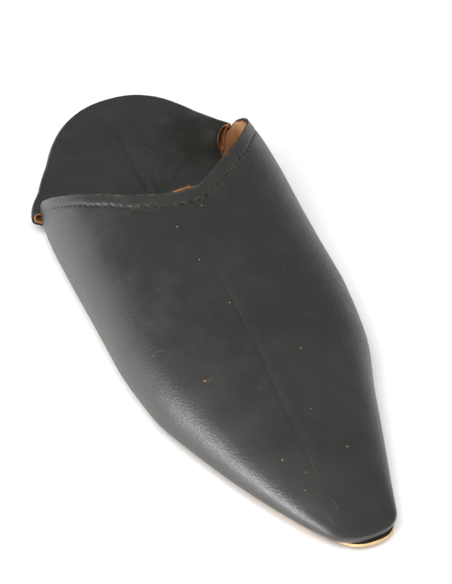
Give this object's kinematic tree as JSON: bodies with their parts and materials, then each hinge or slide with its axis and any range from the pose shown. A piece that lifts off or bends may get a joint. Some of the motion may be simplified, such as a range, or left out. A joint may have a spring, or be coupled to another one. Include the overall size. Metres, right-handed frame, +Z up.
{
  "type": "babouche slipper",
  "caption": "Flat right-foot leather slipper with a pointed toe, open throat, and a trodden-down back folded over the insole.",
  "frame": {"origin": "on the floor, at the middle of the box around the standing slipper", "axes": "+X towards the toe, +Y towards the inner (medial) side of the right foot, +Z up"},
  "size_m": [0.2804, 0.0998, 0.0562],
  "materials": {
    "sole_leather": "plain veg-tanned sole leather, pale tan, matte, cut edge",
    "lining_leather": "natural tan lining leather, matte, faint nap",
    "black_leather": "charcoal black grain leather, low satin, tan on the inside and on cut edges"
  },
  "bodies": {
    "root": {"outsole": "sole_leather", "insole": "lining_leather", "upper": "black_leather", "back_quarter": "black_leather"}
  },
  "joints": []
}
